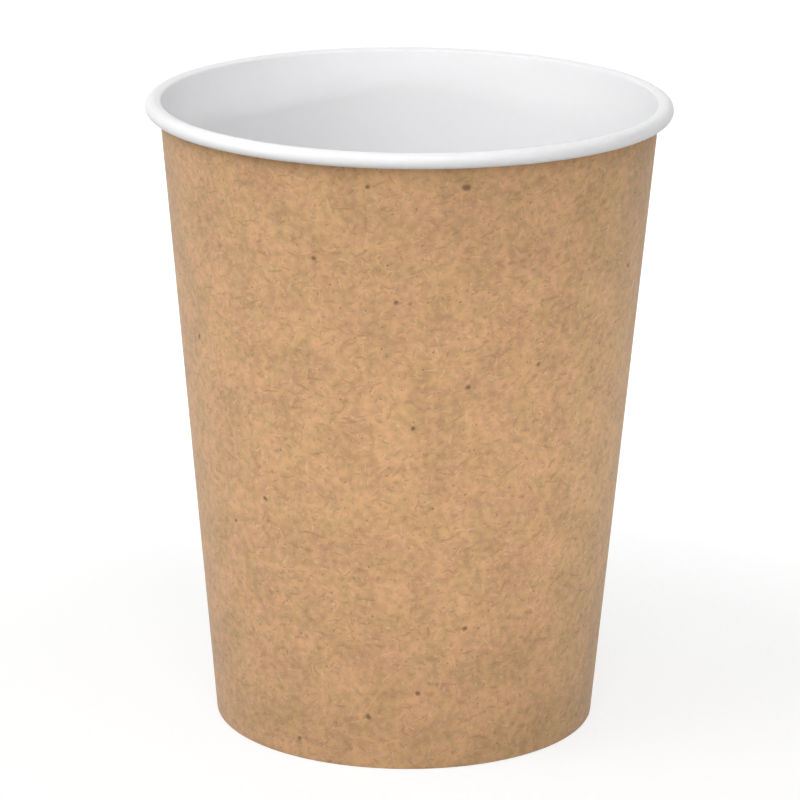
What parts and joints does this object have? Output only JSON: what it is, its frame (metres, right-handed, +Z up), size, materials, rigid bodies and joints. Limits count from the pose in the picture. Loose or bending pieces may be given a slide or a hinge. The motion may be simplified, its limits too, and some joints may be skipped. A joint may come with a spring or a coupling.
{
  "type": "paper coffee cup",
  "caption": "Single-wall paper coffee cup: a tapered brown kraft sidewall with a white inside, a rolled white rim, a side seam and a recessed bottom disc. No lid.",
  "frame": {"origin": "centre of the circle that the cup stands on, in the plane of the foot", "axes": "+Z up along the cup's axis to the open rim; -Y is the front, and the side seam is at the right, near +X"},
  "size_m": [0.09, 0.09, 0.1095],
  "materials": {
    "kraft_board": "matte",
    "white_board": "satin"
  },
  "bodies": {
    "root": {"sidewall": "kraft_board", "bottom_disc": "white_board"}
  },
  "joints": []
}
